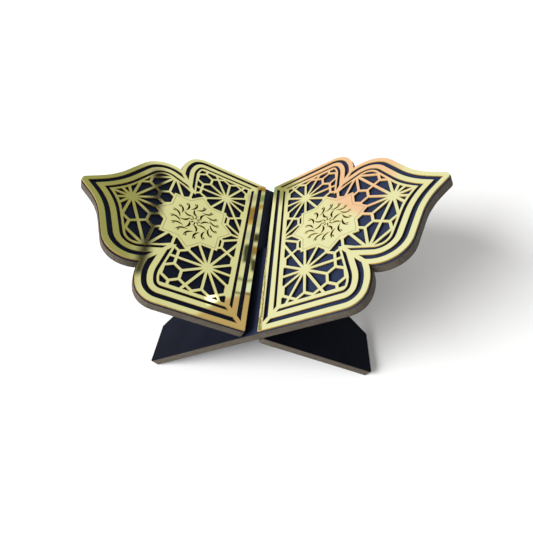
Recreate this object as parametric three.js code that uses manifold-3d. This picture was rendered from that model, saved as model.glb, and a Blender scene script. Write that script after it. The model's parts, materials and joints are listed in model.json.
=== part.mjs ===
// Folding book stand: two identical boards, half-lapped into an X, each with a mirror-gold
// lattice glued to the upper face of its wing. Each board is a wing above the crossing line and
// a pair of feet below it, and the two swing about that line.
// Millimetres, +Z up. X runs from wing tip to wing tip, and Y along the crossing line.
// The origin is on the floor, under the middle of the crossing line.

import * as THREE from 'three';
import { mergeVertices } from 'three/addons/utils/BufferGeometryUtils.js';
import Module from 'manifold-3d';

// ---- Driving dimensions -------------------------------------------------------------------
// On a board, u is measured from the crossing line towards the wing tip, and v along that line.

const tilt = THREE.MathUtils.degToRad(28.4);  // each board above the horizontal, stand open
const boardDepth = 200;
const boardThickness = 8;
const wingReach = 177.4;                      // crossing line to the rounded wing tip
const legReach = 116;                         // crossing line to the sawn foot end

const slotClearance = 0.3;                    // slot side to the board that fills it
const lapClearance = 0.3;                     // between the two slot ends
const slotMouthRadius = 2.5;

const footWidth = 40;
const footRadius = 1.5;
const archHeight = 37;                        // the cut between the feet, from the foot ends up
const archWidth = 64;                         // across its top
const archRadius = 3;

// Wing outline: a round shoulder lobe, a notch, a second lobe and an ogee point
const shoulderReach = 96.7;
const shoulderRadius = 23.6;
const waistOffset = [9.9, 23.7];              // widest place of the shoulder, from its corner
const waistRadius = 51;
const notchReach = 105.3;
const notchDrop = 33.4;                       // from the board's long edge
const lobeReach = 129.1;
const lobeDrop = 23.6;
const lobeRadius = 29.8;
const ogeeOffset = [24, 19.6];                // hollow of the ogee, from the sharp tip corner
const ogeeRadius = 61;
const tipRadius = 5.2;

// Mirror-gold overlay
const overlayThickness = 2;
const glueGap = 0.3;
const edgeMargin = 0.6;                       // board edge to overlay edge
const crossingMargin = 1.4;                   // slot side to the overlay's inner edge
const overlayCornerRadius = 1;
const outerBand = 4.6;
const outerGroove = 4.2;
const middleBand = 4.9;
const innerGroove = 2.6;
const innerBandCurved = 2;                    // last band, along the lobes and the ogee
const innerBandStraight = 3.5;                // last band, along the two straight outer sides
const innerBandCrossing = 4.6;                // last band, along the crossing side
const cornerBridge = 4.2;                     // gold left across the grooves at a square corner
const notchBridge = 3.7;                      // the same at a notch
const notchBridgeAngle = THREE.MathUtils.degToRad(54);
const bridgeLength = 40;

// Lattice of twelve-rayed stars and hexagons
const starPitch = 55;                         // star to star along u
const starRow = 50;                           // star row to star row along v
const firstStar = 51.2;                       // u of the star nearest the crossing line
const hexagonRadius = 8.7;
const strutWidth = 2.55;
const smallestOpening = 2;                    // mm2; anything smaller stays solid

// Medallion: an eight-pointed star with an engraved line inside its edge, and a rosette of
// curved strokes cut through it. A stroke is as wide as width at its middle and pointed at its
// ends; its outer end is twist further round than its inner end, and bow bends it sideways.
// The strokes are given for a rosette of radius drawnRosetteRadius, and scaled to the star.
const medallionReach = 74;
const medallionSide = 54.4;
const engravingInset = 2.2;                   // star edge to the engraved line
const engravingWidth = 0.4;
const engravingDepth = 0.25;
const rosetteMargin = 2.2;                    // engraved line's nearest corners to the strokes
const strokeRings = [
  { count: 8, inner: 1.8, outer: 5.4, width: 1.3, turn: 0, twist: 0, bow: 0 },
  { count: 8, inner: 5.8, outer: 15.2, width: 1.9, turn: 0.5, twist: 36, bow: 2.6 },
  { count: 8, inner: 8.2, outer: 12.4, width: 1.2, turn: 0.15, twist: 14, bow: 0.6 },
  { count: 16, inner: 14.6, outer: 24.4, width: 1.8, turn: 0.4, twist: -24, bow: -2.4 },
  { count: 16, inner: 20.2, outer: 23.4, width: 1.2, turn: 0.52, twist: 0, bow: 0 },
];
const drawnRosetteRadius = Math.max(...strokeRings.map((ring) => ring.outer));

const arcTolerance = 0.05;                    // greatest gap between an arc and its chords
const strokeSegments = 6;

// ---- Values that follow from them ---------------------------------------------------------

const halfDepth = boardDepth / 2;
const halfThickness = boardThickness / 2;
const crossingHeight = legReach * Math.sin(tilt) + halfThickness * Math.cos(tilt);
const slotHalfWidth = halfThickness / Math.tan(tilt) + slotClearance;
const overlayInnerEdge = slotHalfWidth + crossingMargin;
const overlayBase = halfThickness + glueGap;
const cutOverrun = 1;                         // how far a cutter runs past each face

// ---- Outlines -----------------------------------------------------------------------------
// An outline is a list of corners [u, v, radius], anticlockwise.

const pointOf = ([u, v]) => new THREE.Vector2(u, v);

function neighbours(corners, i) {
  const count = corners.length;
  return [pointOf(corners[(i + count - 1) % count]), pointOf(corners[(i + 1) % count])];
}

// Length that a rounding of this radius takes from each side of corner i
function tangentLength(corners, i) {
  const [before, after] = neighbours(corners, i);
  const corner = pointOf(corners[i]);
  const along = before.sub(corner).normalize();
  const away = after.sub(corner).normalize();
  const halfAngle = Math.acos(THREE.MathUtils.clamp(along.dot(away), -1, 1)) / 2;
  return corners[i][2] / Math.tan(halfAngle);
}

// Share of its wished-for rounding that corner i can have, so roundings never overlap
function roundingShare(corners, i, lengths) {
  const count = corners.length;
  return [(i + count - 1) % count, (i + 1) % count].reduce((share, j) => {
    const side = pointOf(corners[i]).distanceTo(pointOf(corners[j]));
    return Math.min(share, side / (lengths[i] + lengths[j] + 1e-9));
  }, 1);
}

// The outline as points, with every rounded corner an arc
function roundedLoop(corners) {
  const lengths = corners.map((_, i) => tangentLength(corners, i));
  return corners.flatMap((corner, i) => {
    const middle = pointOf(corner);
    if (corner[2] <= 0) return [middle];
    const share = roundingShare(corners, i, lengths);
    const radius = corner[2] * share;
    const [before, after] = neighbours(corners, i);
    const along = before.sub(middle).normalize();
    const away = after.sub(middle).normalize();
    const start = middle.clone().addScaledVector(along, lengths[i] * share);
    const end = middle.clone().addScaledVector(away, lengths[i] * share);
    const towards = along.clone().add(away).normalize();
    const reach = Math.hypot(radius, lengths[i] * share);
    const centre = middle.clone().addScaledVector(towards, reach);
    const from = start.clone().sub(centre).angle();
    let sweep = end.clone().sub(centre).angle() - from;
    if (sweep > Math.PI) sweep -= 2 * Math.PI;
    if (sweep < -Math.PI) sweep += 2 * Math.PI;
    const stepAngle = 2 * Math.acos(1 - Math.min(arcTolerance / radius, 0.5));
    const steps = Math.ceil(Math.abs(sweep) / stepAngle);
    return Array.from({ length: steps + 1 }, (_, k) => {
      const angle = from + (sweep * k) / steps;
      return new THREE.Vector2(Math.cos(angle), Math.sin(angle)).multiplyScalar(radius).add(centre);
    });
  });
}

// The same outline with every side moved inward: round corners tighten and hollows open out,
// and a sharp corner stays sharp.
function inset(corners, distance) {
  return corners.map((corner, i) => {
    const middle = pointOf(corner);
    const [before, after] = neighbours(corners, i);
    const arriving = middle.clone().sub(before).normalize();
    const leaving = after.sub(middle).normalize();
    const inward = (d) => new THREE.Vector2(-d.y, d.x);
    const bisector = inward(arriving).add(inward(leaving)).normalize();
    const moved = middle.addScaledVector(bisector, distance / bisector.dot(inward(leaving)));
    const hollow = arriving.cross(leaving) < 0;
    const radius = corner[2] === 0 ? 0 : Math.max(corner[2] + (hollow ? distance : -distance), 0);
    return [moved.x, moved.y, radius];
  });
}

const mirrored = (corners) => corners.map(([u, v, r]) => [u, -v, r]).reverse();

// Sharp corner of the ogee point, whose rounding ends at wingReach
const tipHalfAngle = Math.atan2(ogeeOffset[1], ogeeOffset[0]);
const tipReach = wingReach + tipRadius * (1 / Math.sin(tipHalfAngle) - 1);

// One side of the wing, from the tip back to the shoulder, on the +v side
const wingSide = [
  [tipReach - ogeeOffset[0], ogeeOffset[1], ogeeRadius],
  [lobeReach, halfDepth - lobeDrop, lobeRadius],
  [notchReach, halfDepth - notchDrop, 0],
  [shoulderReach + waistOffset[0], halfDepth - waistOffset[1], waistRadius],
  [shoulderReach, halfDepth, shoulderRadius],
];

function wingOutline(innerEdge) {
  return [
    [innerEdge, -halfDepth, overlayCornerRadius],
    ...mirrored(wingSide),
    [tipReach, 0, tipRadius],
    ...wingSide,
    [innerEdge, halfDepth, overlayCornerRadius],
  ];
}

// ---- Solids -------------------------------------------------------------------------------

const wasm = await Module();
wasm.setup();

function prismGeometry(points, bottom, top) {
  const shape = new THREE.Shape(points);
  const geometry = new THREE.ExtrudeGeometry(shape, { depth: top - bottom, bevelEnabled: false });
  return geometry.translate(0, 0, bottom);
}

function toSolid(geometry) {
  geometry.deleteAttribute('normal');
  geometry.deleteAttribute('uv');
  const merged = mergeVertices(geometry);
  return new wasm.Manifold(new wasm.Mesh({
    numProp: 3,
    vertProperties: new Float32Array(merged.attributes.position.array),
    triVerts: new Uint32Array(merged.index.array),
  }));
}

function toGeometry(solid) {
  const mesh = solid.getMesh();
  const geometry = new THREE.BufferGeometry();
  geometry.setAttribute('position', new THREE.BufferAttribute(mesh.vertProperties, 3));
  geometry.setIndex(new THREE.BufferAttribute(mesh.triVerts, 1));
  geometry.computeVertexNormals();
  return geometry;
}

// A cutter or filler that runs past both faces of the overlay
function through(points) {
  const top = overlayBase + overlayThickness + cutOverrun;
  return toSolid(prismGeometry(points, overlayBase - cutOverrun, top));
}

// A straight bar from one point to another, run on at both ends by endRun
function bar(from, to, width, endRun = 0) {
  const along = to.clone().sub(from).normalize();
  const across = new THREE.Vector2(-along.y, along.x).multiplyScalar(width / 2);
  const start = from.clone().addScaledVector(along, -endRun);
  const end = to.clone().addScaledVector(along, endRun);
  return through([
    start.clone().sub(across), end.clone().sub(across),
    end.clone().add(across), start.clone().add(across),
  ]);
}

const polar = (angle, radius) => new THREE.Vector2(Math.cos(angle), Math.sin(angle))
  .multiplyScalar(radius);

// ---- Board: wing, feet, and the slot in its +v half ---------------------------------------

function boardGeometry() {
  const slotEnd = -lapClearance / 2;
  const archTop = -legReach + archHeight;
  return prismGeometry(roundedLoop([
    [-legReach, -halfDepth, footRadius],
    ...mirrored(wingSide),
    [tipReach, 0, tipRadius],
    ...wingSide,
    [slotHalfWidth, halfDepth, slotMouthRadius],
    [slotHalfWidth, slotEnd, 0],
    [-slotHalfWidth, slotEnd, 0],
    [-slotHalfWidth, halfDepth, slotMouthRadius],
    [-legReach, halfDepth, footRadius],
    [-legReach, halfDepth - footWidth, 1],
    [archTop, archWidth / 2, archRadius],
    [archTop, -archWidth / 2, archRadius],
    [-legReach, footWidth - halfDepth, 1],
  ]), -halfThickness, halfThickness);
}

// ---- Overlay ------------------------------------------------------------------------------

// One groove around the overlay, broken by gold bridges at its corners and notches
function groove(outline, from, width, bridges) {
  const ring = through(roundedLoop(inset(outline, from)))
    .subtract(through(roundedLoop(inset(outline, from + width))));
  return ring.subtract(bridges);
}

function grooveBridges(outline) {
  const notches = outline.filter(([, , radius]) => radius === 0).map(pointOf);
  const corners = [outline[0], outline[outline.length - 1]].map(pointOf);
  const inwards = (point, angle) => point.clone()
    .add(new THREE.Vector2(Math.cos(angle), -Math.sign(point.y) * Math.sin(angle))
      .multiplyScalar(bridgeLength));
  return wasm.Manifold.union([
    ...corners.map((corner) => bar(corner, inwards(corner, Math.PI / 4), cornerBridge)),
    ...notches.map((notch) => bar(notch, inwards(notch, Math.PI - notchBridgeAngle), notchBridge)),
  ]);
}

// Bars of the star lattice near the pane: star to star, star to hexagon, the hexagons, and
// the links between hexagons. It is a regular pattern stretched along v.
function latticeBars(pane) {
  const stretch = starRow / (starPitch * Math.sin(Math.PI / 3));
  const hexagonDistance = starPitch / Math.sqrt(3);
  const linkHalf = hexagonDistance / 2 - hexagonRadius;
  const step = Math.PI / 3;
  const endRun = strutWidth * 0.29;
  const box = new THREE.Box2().setFromPoints(pane);
  const bars = [];
  const add = (from, to) => {
    const ends = [from, to].map((p) => new THREE.Vector2(p.x, p.y * stretch));
    if (new THREE.Box2().setFromPoints(ends).intersectsBox(box)) {
      bars.push(bar(...ends, strutWidth, endRun));
    }
  };
  const columns = Math.ceil((box.max.x - box.min.x) / starPitch) + 2;
  const rows = Math.ceil(box.max.y / starRow) + 1;
  for (let row = -rows; row <= rows; row += 1) {
    const shift = row % 2 === 0 ? -starPitch / 2 : 0;
    for (let column = -2; column <= columns; column += 1) {
      const star = new THREE.Vector2(firstStar + shift + column * starPitch, (row * starRow) / stretch);
      for (let k = 0; k < 6; k += 1) {
        const spoke = star.clone().add(polar((k + 0.5) * step, hexagonDistance - hexagonRadius));
        add(star, spoke);
      }
      for (let k = 0; k < 3; k += 1) {
        const next = star.clone().add(polar(k * step, starPitch));
        const half = star.clone().add(polar(k * step, starPitch / 2));
        const across = polar(k * step + Math.PI / 2, linkHalf);
        add(star, next);
        add(half.clone().sub(across), half.clone().add(across));
      }
      for (let k = 0; k < 2; k += 1) {
        const centre = star.clone().add(polar((k + 0.5) * step, hexagonDistance));
        const corner = (i) => centre.clone().add(polar((i + 0.5) * step, hexagonRadius));
        for (let i = 0; i < 6; i += 1) add(corner(i), corner(i + 1));
      }
    }
  }
  return wasm.Manifold.union(bars);
}

const medallionCentre = new THREE.Vector2(medallionReach, 0);

function medallionStar(edgeInset = 0) {
  const cornerRadius = (medallionSide - 2 * edgeInset) / Math.SQRT2;
  const square = (turn) => through([0, 1, 2, 3].map((i) => (
    polar(turn + (i * Math.PI) / 2, cornerRadius).add(medallionCentre)
  )));
  return square(0).add(square(Math.PI / 4));
}

function engravedLine() {
  const ring = medallionStar(engravingInset).subtract(medallionStar(engravingInset + engravingWidth));
  return ring.translate(0, 0, overlayThickness + cutOverrun - engravingDepth);
}

function stroke({ inner, outer, width, twist, bow }, angle) {
  const start = polar(angle, inner);
  const end = polar(angle + THREE.MathUtils.degToRad(twist), outer);
  const along = end.clone().sub(start).normalize();
  const side = new THREE.Vector2(-along.y, along.x);
  const middle = start.clone().add(end).multiplyScalar(0.5).addScaledVector(side, 2 * bow);
  const left = middle.clone().addScaledVector(side, width);
  const right = middle.clone().addScaledVector(side, -width);
  const shape = new THREE.Shape();
  shape.moveTo(start.x, start.y);
  shape.quadraticCurveTo(right.x, right.y, end.x, end.y);
  shape.quadraticCurveTo(left.x, left.y, start.x, start.y);
  return shape.getPoints(strokeSegments).slice(0, -1);
}

function rosetteSlots() {
  const lineHalfWidth = medallionSide / 2 - engravingInset - engravingWidth;
  const radius = lineHalfWidth / Math.cos(Math.PI / 8) - rosetteMargin;
  const scale = radius / drawnRosetteRadius;
  return wasm.Manifold.union(strokeRings.flatMap((ring) => (
    Array.from({ length: ring.count }, (_, k) => {
      const points = stroke(ring, ((k + ring.turn) * 2 * Math.PI) / ring.count);
      return through(points.map((p) => p.multiplyScalar(scale).add(medallionCentre)));
    })
  )));
}

// The openings of the lattice: the pane less its bars and the medallion
function latticeOpenings(outline, innerGrooveEnd) {
  const panePoints = roundedLoop(inset(outline, innerGrooveEnd + innerBandCurved));
  const uStart = outline[0][0] + innerGrooveEnd + innerBandCrossing;
  const vEnd = outline[outline.length - 1][1] - innerGrooveEnd - innerBandStraight;
  const pane = through(panePoints).intersect(through([
    new THREE.Vector2(uStart, -vEnd), new THREE.Vector2(wingReach, -vEnd),
    new THREE.Vector2(wingReach, vEnd), new THREE.Vector2(uStart, vEnd),
  ]));
  const cutterHeight = overlayThickness + 2 * cutOverrun;
  const openings = pane.subtract(latticeBars(panePoints)).subtract(medallionStar());
  return wasm.Manifold.union(openings.decompose()
    .filter((opening) => opening.volume() > smallestOpening * cutterHeight));
}

function overlayGeometry() {
  const outline = inset(wingOutline(overlayInnerEdge - edgeMargin), edgeMargin);
  const secondGroove = outerBand + outerGroove + middleBand;
  const bridges = grooveBridges(outline);
  const sheet = prismGeometry(roundedLoop(outline), overlayBase, overlayBase + overlayThickness);
  return toGeometry(toSolid(sheet)
    .subtract(groove(outline, outerBand, outerGroove, bridges))
    .subtract(groove(outline, secondGroove, innerGroove, bridges))
    .subtract(latticeOpenings(outline, secondGroove + innerGroove))
    .subtract(rosetteSlots())
    .subtract(engravedLine()));
}

// ---- Assembly -----------------------------------------------------------------------------

const laminate = new THREE.MeshStandardMaterial({ color: 0x23283a, roughness: 0.45, metalness: 0 });
const gold = new THREE.MeshStandardMaterial({ color: 0xe3dc9a, roughness: 0.08, metalness: 1 });

// A board and its overlay, tilted so that the wing rises towards +X
function tiltedBoard(side) {
  const board = new THREE.Mesh(boardGeometry(), laminate);
  board.name = `${side}_wing_board`;
  const overlay = new THREE.Mesh(overlayGeometry(), gold);
  overlay.name = `${side}_gold_overlay`;
  const group = new THREE.Group();
  group.add(board, overlay);
  group.rotation.y = -tilt;
  return group;
}

const stand = new THREE.Group();
stand.position.z = crossingHeight;
stand.add(tiltedBoard('right'));

const otherWay = new THREE.Group();
otherWay.rotation.z = Math.PI;
otherWay.add(tiltedBoard('left'));
stand.add(otherWay);

const bookStand = new THREE.Group();
bookStand.add(stand);

export default bookStand;
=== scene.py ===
"""Looks of the folding quran stand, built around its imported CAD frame. Metres, +Z up.

On a board, u runs from the crossing line to the wing tip, v along that line, and n out of the
face that carries the gold sheet.
"""

import json
import math

import bmesh
import bpy
from mathutils import Matrix, Vector


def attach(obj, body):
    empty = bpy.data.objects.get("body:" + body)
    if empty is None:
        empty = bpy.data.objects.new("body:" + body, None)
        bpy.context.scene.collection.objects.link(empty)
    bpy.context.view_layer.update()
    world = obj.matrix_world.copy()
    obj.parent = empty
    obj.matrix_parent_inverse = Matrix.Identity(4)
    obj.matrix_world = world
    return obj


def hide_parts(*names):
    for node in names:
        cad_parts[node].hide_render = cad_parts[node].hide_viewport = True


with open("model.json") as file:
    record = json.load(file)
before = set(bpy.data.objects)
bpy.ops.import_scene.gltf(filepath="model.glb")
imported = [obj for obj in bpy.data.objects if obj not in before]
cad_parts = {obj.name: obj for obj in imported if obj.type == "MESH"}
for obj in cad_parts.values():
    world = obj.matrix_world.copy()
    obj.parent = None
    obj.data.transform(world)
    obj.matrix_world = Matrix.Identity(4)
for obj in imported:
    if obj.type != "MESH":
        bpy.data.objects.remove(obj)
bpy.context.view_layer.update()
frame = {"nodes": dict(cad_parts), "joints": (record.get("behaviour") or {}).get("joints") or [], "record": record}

SIDES = ("right", "left")
MM = 0.001

# ---- Camera -------------------------------------------------------------------------------

SENSOR = 36
FOCAL_IN_WIDTHS = 0.63296                 # focal length over the picture's width
CAMERA_AZIMUTH = math.radians(8.96)       # round from the front, towards +X
CAMERA_ELEVATION = math.radians(47.29)
CAMERA_ROLL = math.radians(-5.51)
CAMERA_DISTANCE = 0.36074
CAMERA_TARGET = Vector((0.001964, 0.00006, 0.036633))


def make_camera():
    across_floor = math.cos(CAMERA_ELEVATION)
    back = Vector((
        math.sin(CAMERA_AZIMUTH) * across_floor,
        -math.cos(CAMERA_AZIMUTH) * across_floor,
        math.sin(CAMERA_ELEVATION),
    ))
    right = Vector((0, 0, 1)).cross(back).normalized()
    turn = Matrix.Rotation(CAMERA_ROLL, 3, back)
    axes = Matrix((turn @ right, turn @ back.cross(right), back)).transposed()
    data = bpy.data.cameras.new("camera")
    data.sensor_width = SENSOR
    data.lens = SENSOR * FOCAL_IN_WIDTHS
    data.clip_start = 0.01
    camera = bpy.data.objects.new("camera", data)
    camera.matrix_world = Matrix.LocRotScale(
        CAMERA_TARGET + back * CAMERA_DISTANCE, axes.to_quaternion(), None)
    bpy.context.scene.collection.objects.link(camera)
    bpy.context.scene.camera = camera


make_camera()

# ---- Shader helpers -----------------------------------------------------------------------

# The colour sockets of a Mix node, whose names repeat for each data type
MIX_FIRST, MIX_SECOND, MIX_RESULT = 6, 7, 2


class Shader:
    """The node tree of a material or world, with short calls for the nodes used here."""

    def __init__(self, owner):
        owner.use_nodes = True
        self.tree = owner.node_tree
        self.tree.nodes.clear()

    def put(self, socket, value):
        if isinstance(value, bpy.types.NodeSocket):
            self.tree.links.new(value, socket)
        elif isinstance(value, (tuple, list)) and len(value) == 3 and socket.type == "RGBA":
            socket.default_value = (*value, 1)
        else:
            socket.default_value = value

    def node(self, kind, inputs=(), **settings):
        made = self.tree.nodes.new(kind)
        for name, value in settings.items():
            setattr(made, name, value)
        for name, value in dict(inputs).items():
            self.put(made.inputs[name], value)
        return made

    def math(self, operation, *values):
        made = self.node("ShaderNodeMath", operation=operation)
        for i, value in enumerate(values):
            self.put(made.inputs[i], value)
        return made.outputs[0]

    def ramp(self, value, low, high, to_low=0.0, to_high=1.0, smooth=True):
        kind = "SMOOTHSTEP" if smooth else "LINEAR"
        made = self.node("ShaderNodeMapRange", {
            "Value": value, "From Min": low, "From Max": high,
            "To Min": to_low, "To Max": to_high,
        }, interpolation_type=kind)
        return made.outputs["Result"]

    def mix(self, factor, first, second):
        made = self.node("ShaderNodeMix", data_type="RGBA")
        self.put(made.inputs["Factor"], factor)
        self.put(made.inputs[MIX_FIRST], first)
        self.put(made.inputs[MIX_SECOND], second)
        return made.outputs[MIX_RESULT]

    def noise(self, vector, scale, detail=2.0, roughness=0.5, stretch=(1, 1, 1)):
        place = self.node("ShaderNodeMapping", {"Vector": vector, "Scale": stretch})
        made = self.node("ShaderNodeTexNoise", {
            "Vector": place.outputs[0], "Scale": scale, "Detail": detail,
            "Roughness": roughness,
        })
        return made.outputs["Fac"]

    def bump(self, height, distance, normal=None):
        made = self.node("ShaderNodeBump", {"Height": height, "Distance": distance})
        made.inputs["Strength"].default_value = 1.0
        if normal is not None:
            self.put(made.inputs["Normal"], normal)
        return made.outputs["Normal"]

    def surface(self, inputs):
        shader = self.node("ShaderNodeBsdfPrincipled", inputs)
        output = self.node("ShaderNodeOutputMaterial")
        self.tree.links.new(shader.outputs[0], output.inputs["Surface"])


def material(name):
    made = bpy.data.materials.new(name)
    return made, Shader(made)


def board_place(shader):
    """Position in the board's own u, v, n, in millimetres."""
    place = shader.node("ShaderNodeAttribute", attribute_name="board_mm")
    return place.outputs["Vector"]


# ---- Materials ----------------------------------------------------------------------------

BOARD_HALF_THICKNESS = 4.0                # mm
SHEET_TOP = 6.3                           # the gold face's n, mm
# The painted shade of the legs fades into the painted light of the wings across this width
CROSSING_BLEND = 9.0                      # mm either side of the crossing line


def gold_mirror():
    """Pale gold mirror behind a gloss acrylic skin, faintly wavy and handled."""
    made, s = material("gold_mirror")
    place = board_place(s)
    tone = s.noise(place, 0.03, 2)
    smudge = s.ramp(s.noise(place, 0.09, 4, 0.6), 0.45, 0.75, 0.008, 0.03)
    scratches = s.noise(place, 1.2, 3, 0.5, (1, 0.06, 1))
    wave = s.bump(s.noise(place, 0.022, 1), 0.00003)
    s.surface({
        "Base Color": s.mix(s.ramp(tone, 0.3, 0.7), (0.80, 0.785, 0.40), (0.84, 0.825, 0.44)),
        "Metallic": 1.0,
        "Specular Tint": (1.0, 0.88, 0.45),
        "Roughness": s.math("ADD", smudge, s.ramp(scratches, 0.62, 0.7, 0.0, 0.015)),
        "Normal": wave,
        "Coat Weight": 0.5,
        "Coat Roughness": 0.03,
    })
    return made


def cut_edge(name, low, high, dull, bright, painted_glow=0.0):
    """A laser-cut edge of the sheet: amber under the rim, and clear below, where the colour of what lies
    behind it is painted on, a painted reflection. An emission can add a painted glow."""
    made, s = material(name)
    place = board_place(s)
    ripple = s.noise(place, 2.2, 2, 0.5, (1, 1, 0.08))
    height = s.node("ShaderNodeSeparateXYZ", {"Vector": place}).outputs["Z"]
    amber = s.mix(s.ramp(ripple, 0.3, 0.7), dull, bright)
    s.surface({
        # Below the amber band: a painted reflection of what lies behind the clear acrylic
        "Base Color": s.mix(s.ramp(height, SHEET_TOP - high, SHEET_TOP - 0.5), low, amber),
        "Roughness": s.ramp(ripple, 0.3, 0.7, 0.2, 0.35),
        "Normal": s.bump(ripple, 0.00004),
        "Specular IOR Level": 0.25,
        # The emission is a painted glow, as of light carried through the acrylic
        "Emission Color": bright,
        "Emission Strength": painted_glow,
    })
    return made


def engraving():
    """The engraved line, where the mirror is burnt away to a rough brown."""
    made, s = material("engraved_line")
    grain = s.noise(board_place(s), 6, 3, 0.6)
    s.surface({
        "Base Color": s.mix(grain, (0.33, 0.24, 0.10), (0.52, 0.42, 0.20)),
        "Roughness": 0.55,
        "Metallic": 0.4,
        "Normal": s.bump(grain, 0.00003),
    })
    return made


def laminate():
    """Satin navy laminate with a fine pebble, paler on the wings' upper faces and darker on the legs and
    undersides: painted light and shade.
    """
    made, s = material("navy_laminate")
    place = board_place(s)
    cloud = s.noise(place, 0.04, 3, 0.55)
    pebble = s.noise(place, 3.5, 3, 0.55)
    dust = s.ramp(s.noise(place, 0.9, 5, 0.75), 0.66, 0.78)
    # Painted shade on the legs and painted light on the wings' upper faces: one laminate in a shaded and a lit
    # copy
    shaded_legs = s.mix(s.ramp(cloud, 0.35, 0.65), (0.0046, 0.0054, 0.0105), (0.0060, 0.0070, 0.0135))
    lit_wings = s.mix(s.ramp(cloud, 0.35, 0.65), (0.0150, 0.0212, 0.0460), (0.0185, 0.0258, 0.0550))
    parts = s.node("ShaderNodeSeparateXYZ", {"Vector": place}).outputs
    # Where the painted light falls: past the crossing line, on the face that carries the gold sheet
    reach = s.ramp(parts["X"], -CROSSING_BLEND, CROSSING_BLEND)
    base = s.mix(s.math("MULTIPLY", reach, s.ramp(parts["Z"], -1, 1)), shaded_legs, lit_wings)
    s.surface({
        "Base Color": s.mix(s.math("MULTIPLY", dust, 0.03), base, (0.35, 0.35, 0.38)),
        "Roughness": s.ramp(cloud, 0.3, 0.7, 0.34, 0.44),
        "Normal": s.bump(pebble, 0.00001),
        "Specular IOR Level": 0.03,
    })
    return made


def fibreboard():
    """Sawn fibreboard: brown felt of fibres with upright cutter marks and thin dark skins."""
    made, s = material("fibreboard_edge")
    place = board_place(s)
    depth = s.math("ABSOLUTE", s.node("ShaderNodeSeparateXYZ", {"Vector": place}).outputs["Z"])
    cloud = s.noise(place, 0.12, 4, 0.6)
    fibre = s.noise(place, 2.6, 5, 0.7, (1, 1, 1.8))
    marks = s.noise(place, 1.4, 3, 0.6, (1, 1, 0.04))
    brown = s.mix(s.ramp(cloud, 0.3, 0.7), (0.050, 0.039, 0.026), (0.082, 0.066, 0.048))
    brown = s.mix(s.ramp(fibre, 0.35, 0.75, 0, 0.75), brown, (0.135, 0.113, 0.085))
    brown = s.mix(s.ramp(marks, 0.35, 0.6, 0.55, 0), brown, (0.022, 0.016, 0.012))
    # Darker towards both faces of the board, just inside the skins
    darker_near_faces = s.ramp(depth, BOARD_HALF_THICKNESS - 1.3, BOARD_HALF_THICKNESS - 0.2, 0, 0.45)
    brown = s.mix(darker_near_faces, brown, (0.025, 0.019, 0.015))
    skin = s.ramp(depth, BOARD_HALF_THICKNESS - 0.14, BOARD_HALF_THICKNESS - 0.08)
    rough = s.bump(fibre, 0.00008, s.bump(marks, 0.00012))
    s.surface({
        "Base Color": s.mix(skin, brown, (0.013, 0.016, 0.032)),
        "Roughness": s.ramp(fibre, 0.3, 0.7, 0.65, 0.85),
        "Normal": rough,
        "Specular IOR Level": 0.35,
    })
    return made


GOLD_MIRROR = gold_mirror()
# Inner walls: the navy laminate behind them painted on below the amber, a painted reflection
CUT_EDGE = cut_edge(
    "amber_edge_painted_reflection", (0.022, 0.026, 0.046), 1.0, (0.26, 0.155, 0.022), (0.42, 0.27, 0.045))
# Outer walls: the board edge's brown painted on below the amber, a painted reflection
OUTER_EDGE = cut_edge(
    "amber_outer_edge_painted_reflection", (0.10, 0.072, 0.030), 1.1, (0.26, 0.155, 0.022), (0.42, 0.27, 0.045))
# Walls at the crossing: bright yellow down to the board, and glowing: painted glow
CROSSING_EDGE = cut_edge(
    "amber_crossing_edge_painted_glow", (0.50, 0.36, 0.03), 1.6, (0.55, 0.38, 0.03), (0.85, 0.66, 0.10), 0.12)
ENGRAVING = engraving()
LAMINATE = laminate()
FIBREBOARD = fibreboard()

# ---- Boards and gold sheets ---------------------------------------------------------------

crossing = Vector(frame["joints"][0]["pos_m"])
mounts = {mount["name"]: mount for mount in frame["record"]["mounts"]}

CHAMFER = 0.12 * MM
SHARP = math.radians(28)
WELD = 0.002 * MM
SAME_HEIGHT = 0.02 * MM
LEAST_WALL = 0.3 * MM                     # an engraving's wall is lower
INNER_STRIP = 0.2 * MM                    # how near the inner edge a wall has to be to lie on it
LEAST_MITRE = 0.25                        # keeps a chamfer short at a needle-sharp corner

# How far a face's normal leans towards an axis
WALL_SLOPE = 0.9                          # less than this along n is a wall, or a chamfer
FLAT_SLOPE = 0.5                          # more than this along n is a flat, or a chamfer
UPRIGHT_SLOPE = 0.1                       # less than this along n is a plain upright wall


def board_axes(side):
    """From the board's u, v, n to the row frame."""
    normal = Vector(mounts[f"{side}_book_rest"]["axis"]).normalized()
    across = Vector((0, 1 if side == "right" else -1, 0))
    axes = Matrix((across.cross(normal), across, normal)).transposed().to_4x4()
    axes.translation = crossing
    return axes


def at_height(vertices, height):
    return all(abs(vertex.co.z - height) < SAME_HEIGHT for vertex in vertices)


def rim_edges(bm, heights):
    """Edges where a face at one of these heights meets a wall taller than an engraving."""
    found = []
    for edge in bm.edges:
        for height in heights:
            if not at_height(edge.verts, height):
                continue
            walls = [face for face in edge.link_faces if not at_height(face.verts, height)]
            if len(walls) == 1 and any(
                abs(vertex.co.z - height) > LEAST_WALL for vertex in walls[0].verts
            ):
                found.append(edge)
    return found


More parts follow.
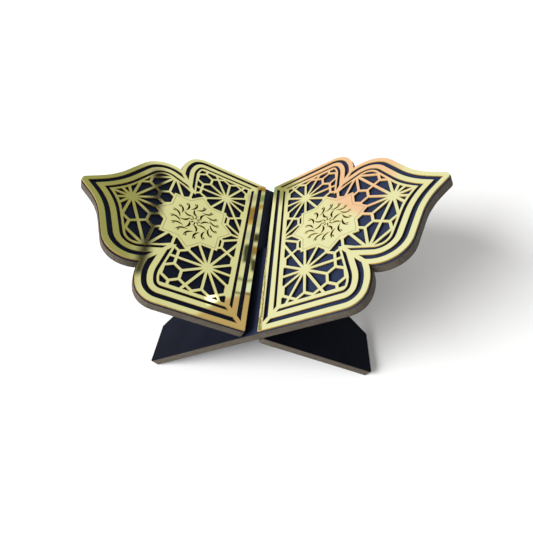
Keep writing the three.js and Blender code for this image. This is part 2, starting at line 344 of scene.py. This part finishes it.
def chamfer_rims(bm, rims):
    """Cuts a 45 degree chamfer along each rim, where a face across n meets a wall."""
    walls_at, ups, links = {}, {}, []
    for rim in rims:
        flat, wall = sorted(rim.link_faces, key=lambda face: -abs(face.normal.z))
        ends = [tuple(vertex.co) for vertex in rim.verts]
        links.append((ends, wall.normal.copy(), flat.normal.copy()))
        for end in ends:
            walls_at.setdefault(end, []).append(wall.normal.copy())
            ups[end] = math.copysign(CHAMFER, flat.normal.z)
    bmesh.ops.split_edges(bm, edges=rims)
    on_flat, on_wall = {}, {}
    for vertex in bm.verts:
        spot = tuple(vertex.co)
        if spot in ups:
            flat = any(abs(face.normal.z) > FLAT_SLOPE for face in vertex.link_faces)
            (on_flat if flat else on_wall)[spot] = vertex
    for spot, normals in walls_at.items():
        first, last = normals[0], normals[-1]
        mitre = (first + last) / max(1 + first.dot(last), LEAST_MITRE)
        on_flat[spot].co -= mitre * CHAMFER
        on_wall[spot].co.z -= ups[spot]
    for (start, end), wall_normal, flat_normal in links:
        face = bm.faces.new((on_flat[start], on_flat[end], on_wall[end], on_wall[start]))
        face.normal_update()
        if face.normal.dot(wall_normal + flat_normal) < 0:
            face.normal_flip()


def refill_flat(bm, height):
    """Triangulates the flat face at this height again, inside the rims as they now are."""
    old = [face for face in bm.faces if at_height(face.verts, height)]
    up = math.copysign(1, sum(face.normal.z for face in old))
    bmesh.ops.delete(bm, geom=old, context="FACES")
    rims = [edge for edge in bm.edges if len(edge.link_faces) == 1 and at_height(edge.verts, height)]
    bmesh.ops.triangle_fill(
        bm, edges=rims, use_beauty=True, use_dissolve=False, normal=(0, 0, up))


def tag_outer_walls(bm):
    """Tags the walls of the outermost outline: those that can be reached from the wing tip."""
    for face in bm.faces:
        face.tag = False
    walls = [face for face in bm.faces if abs(face.normal.z) < WALL_SLOPE]
    waiting = [max(walls, key=lambda face: max(vertex.co.x for vertex in face.verts))]
    while waiting:
        face = waiting.pop()
        if face.tag:
            continue
        face.tag = True
        waiting.extend(
            other for edge in face.edges for other in edge.link_faces
            if not other.tag and abs(other.normal.z) < WALL_SLOPE)


def finished(mesh_source, name, side, materials, heights, pick_material):
    """A CAD node's shape as a new piece, with the rims at these heights chamfered."""
    axes = board_axes(side)
    bm = bmesh.new()
    bm.from_mesh(frame["nodes"][mesh_source].data)
    bmesh.ops.remove_doubles(bm, verts=bm.verts, dist=WELD)
    bmesh.ops.dissolve_degenerate(bm, edges=bm.edges, dist=WELD)
    bm.transform(axes.inverted())
    bm.normal_update()
    chamfer_rims(bm, rim_edges(bm, heights))
    for height in heights:
        refill_flat(bm, height)
    bm.normal_update()
    tag_outer_walls(bm)
    for face in bm.faces:
        face.material_index = materials.index(pick_material(face))
        face.smooth = True
    mesh = bpy.data.meshes.new(name)
    bm.to_mesh(mesh)
    bm.free()
    for stale in ("custom_normal", "sharp_edge", "sharp_face"):
        if stale in mesh.attributes:
            mesh.attributes.remove(mesh.attributes[stale])
    place = mesh.attributes.new("board_mm", "FLOAT_VECTOR", "POINT")
    for vertex in mesh.vertices:
        place.data[vertex.index].vector = vertex.co / MM
    mesh.transform(axes)
    mesh.set_sharp_from_angle(angle=SHARP)
    for each in materials:
        mesh.materials.append(each)
    piece = bpy.data.objects.new(name, mesh)
    bpy.context.scene.collection.objects.link(piece)
    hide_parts(mesh_source)
    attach(piece, f"{side}_wing")
    return piece


def make_board(side):
    half = BOARD_HALF_THICKNESS * MM
    piece = finished(
        f"{side}_wing_board", f"{side}_board", side, [LAMINATE, FIBREBOARD], (half, -half),
        lambda face: LAMINATE if abs(face.normal.z) > FLAT_SLOPE else FIBREBOARD,
    )


def make_sheet(side):
    places = [
        board_axes(side).inverted() @ vertex.co
        for vertex in frame["nodes"][f"{side}_gold_overlay"].data.vertices
    ]
    top = max(place.z for place in places)
    inner_edge = min(place.x for place in places)

    def pick(face):
        if face.normal.z > WALL_SLOPE:
            return GOLD_MIRROR if at_height(face.verts, top) else ENGRAVING
        wall = max(v.co.z for v in face.verts) - min(v.co.z for v in face.verts)
        if wall < LEAST_WALL and abs(face.normal.z) < UPRIGHT_SLOPE:
            return ENGRAVING
        furthest = max(v.co.x for v in face.verts)
        if face.normal.x < -FLAT_SLOPE and furthest < inner_edge + INNER_STRIP:
            return CROSSING_EDGE
        return OUTER_EDGE if face.tag else CUT_EDGE

    piece = finished(
        f"{side}_gold_overlay", f"{side}_gold_sheet", side,
        [GOLD_MIRROR, ENGRAVING, CUT_EDGE, OUTER_EDGE, CROSSING_EDGE], (top,), pick,
    )


for each_side in SIDES:
    make_board(each_side)
    make_sheet(each_side)

# ---- Floor, lights and surroundings -------------------------------------------------------

FLOOR_HALF = 15.0


def make_floor():
    mesh = bpy.data.meshes.new("floor")
    half = FLOOR_HALF
    corners = [(-half, -half, 0), (half, -half, 0), (half, half, 0), (-half, half, 0)]
    mesh.from_pydata(corners, [], [(0, 1, 2, 3)])
    floor = bpy.data.objects.new("floor", mesh)
    bpy.context.scene.collection.objects.link(floor)
    made, s = material("pale_floor")
    s.surface({
        "Base Color": (0.93, 0.93, 0.93),
        "Roughness": 0.9,
        "Specular IOR Level": 0.1,
    })
    mesh.materials.append(made)


def make_soft_sun(name, towards, spread, strength):
    """A distant soft box: even light, with shadows as soft as its spread."""
    data = bpy.data.lights.new(name, "SUN")
    data.angle = math.radians(spread)
    data.energy = strength
    light = bpy.data.objects.new(name, data)
    light.visible_glossy = False          # the gold mirrors the painted soft box instead
    light.rotation_mode = "QUATERNION"
    light.rotation_quaternion = Vector(towards).to_track_quat("Z", "Y")
    bpy.context.scene.collection.objects.link(light)


DIM_ROOM = (0.42, 0.42, 0.425)
WOBBLE = 1.5                              # degrees by which noise bends the patches' edges


class Studio:
    """The surroundings as seen in a mirror: azimuth from +Y towards +X, and elevation."""

    def __init__(self, world):
        self.s = Shader(world)
        direction = self.s.node("ShaderNodeTexCoord").outputs["Generated"]
        wobble = self.s.node("ShaderNodeTexNoise", {
            "Vector": direction, "Scale": 9.0, "Detail": 2.0})
        parts = self.s.node("ShaderNodeSeparateXYZ", {"Vector": direction})
        x, y, z = parts.outputs
        shift = self.s.node("ShaderNodeSeparateColor", {"Color": wobble.outputs["Color"]})
        azimuth = self.s.math("DEGREES", self.s.math("ARCTAN2", x, y))
        elevation = self.s.math("DEGREES", self.s.math("ARCSINE", z))
        self.azimuth = self.s.math(
            "ADD", azimuth, self.s.ramp(shift.outputs[0], 0, 1, -WOBBLE, WOBBLE, False))
        self.elevation = self.s.math(
            "ADD", elevation, self.s.ramp(shift.outputs[1], 0, 1, -WOBBLE, WOBBLE, False))
        self.colour = DIM_ROOM

    def patch(self, colour, centre, half_size, turn=0.0, soft=1.0):
        """Lays a soft-edged rectangle of this colour over what is there. Degrees."""
        s = self.s
        da = s.math("SUBTRACT", self.azimuth, float(centre[0]))
        de = s.math("SUBTRACT", self.elevation, float(centre[1]))
        c, n = math.cos(math.radians(turn)), math.sin(math.radians(turn))
        along = s.math("ADD", s.math("MULTIPLY", da, c), s.math("MULTIPLY", de, n))
        across = s.math("SUBTRACT", s.math("MULTIPLY", de, c), s.math("MULTIPLY", da, n))
        inside = [
            s.ramp(s.math("ABSOLUTE", value), size - soft, size + soft, 1.0, 0.0)
            for value, size in ((along, half_size[0]), (across, half_size[1]))
        ]
        self.colour = s.mix(s.math("MULTIPLY", *inside), self.colour, colour)

    def finish(self, light, shown):
        s = self.s
        is_camera = s.node("ShaderNodeLightPath").outputs["Is Camera Ray"]
        lit = s.node("ShaderNodeBackground", {"Color": self.colour, "Strength": light})
        plain = s.node("ShaderNodeBackground", {"Color": (1, 1, 1), "Strength": shown})
        both = s.node("ShaderNodeMixShader")
        s.put(both.inputs[0], is_camera)
        s.put(both.inputs[1], lit.outputs[0])
        s.put(both.inputs[2], plain.outputs[0])
        output = s.node("ShaderNodeOutputWorld")
        s.put(output.inputs["Surface"], both.outputs[0])


# Things in the room along one sloping line, as the left wing's inner bands show them: azimuth
# of the middle, height over the line, length along it and colour
CLUTTER_TURN = 30.6
CLUTTER_FROM = (27.0, 24.2)
CLUTTER_HALF_HEIGHT = 0.9
SLIM_LENGTH = 0.5                         # anything shorter is a slim upright
SLIM_HALF_HEIGHT = 2.4
CLUTTER = (
    (26.8, 0.0, 1.0, (0.36, 0.19, 0.07)),
    (28.2, 0.0, 1.3, (0.25, 0.36, 0.26)),
    (29.4, 0.0, 0.9, (0.48, 0.33, 0.13)),
    (31.2, 0.0, 2.4, (0.58, 0.60, 0.64)),
    (34.0, 0.0, 1.8, (0.06, 0.06, 0.04)),
    (36.3, 0.0, 1.8, (0.36, 0.22, 0.09)),
    (38.6, 0.0, 2.0, (0.06, 0.07, 0.05)),
    (27.0, 1.9, 1.2, (0.55, 0.55, 0.52)),
    (29.6, 1.9, 2.8, (0.36, 0.23, 0.09)),
    (30.6, 1.9, 0.7, (0.60, 0.40, 0.15)),
    (32.8, 1.9, 1.6, (0.60, 0.62, 0.60)),
    (36.0, 1.9, 4.0, (0.07, 0.075, 0.05)),
    (41.6, 1.0, 2.0, (0.84, 0.94, 1.05)),
    (40.4, 1.0, 0.25, (0.12, 0.14, 0.09)),
    (42.9, 1.0, 0.40, (0.08, 0.08, 0.06)),
)


def make_surroundings():
    world = bpy.data.worlds.new("studio")
    bpy.context.scene.world = world
    studio = Studio(world)
    # The soft box that the key stands for, and the white walls that the two wings reflect
    studio.patch((1, 1, 1), (-111, 28), (20, 16), soft=8)
    studio.patch((1, 1, 1), (-36, 26), (27, 17), soft=6)
    studio.patch((1, 1, 1), (28, 36), (30, 20), soft=6)
    # Seen in the right wing: a pink wall, and something green low down
    studio.patch((1.12, 0.74, 0.80), (-21, 21), (8.5, 8.5), soft=1.2)
    studio.patch((0.42, 0.42, 0.28), (-31.5, 15), (1.8, 1.6), soft=1)
    studio.patch((0.16, 0.46, 0.42), (-32, 13.4), (2.0, 0.8), soft=0.5)
    # Seen in the left wing
    studio.patch((0.80, 0.80, 0.68), (30, 36), (30, 16), soft=4)
    studio.patch((0.37, 0.37, 0.20), (12, 48), (20, 8.5), turn=35, soft=2)
    studio.patch((0.07, 0.07, 0.05), (21, 42.5), (10, 1.1), turn=36, soft=1)
    studio.patch((0.60, 0.43, 0.28), (48, 37), (5.2, 9), soft=0.6)
    for azimuth, offset, length, colour in CLUTTER:
        rise = (azimuth - CLUTTER_FROM[0]) * math.tan(math.radians(CLUTTER_TURN)) + offset
        half_height = CLUTTER_HALF_HEIGHT if length > SLIM_LENGTH else SLIM_HALF_HEIGHT
        studio.patch(
            colour, (azimuth, CLUTTER_FROM[1] + rise), (length / 2, half_height),
            CLUTTER_TURN, soft=0.45)
    studio.patch((2.6, 2.6, 2.5), (41.5, 40), (0.9, 0.7), soft=0.5)
    studio.finish(light=1.0, shown=1.0)


make_floor()
make_surroundings()
make_soft_sun("key", towards=(-1.0, -0.40, 0.45), spread=46, strength=6.5)

scene = bpy.context.scene
scene.view_settings.view_transform = "Standard"
scene.view_settings.look = "None"
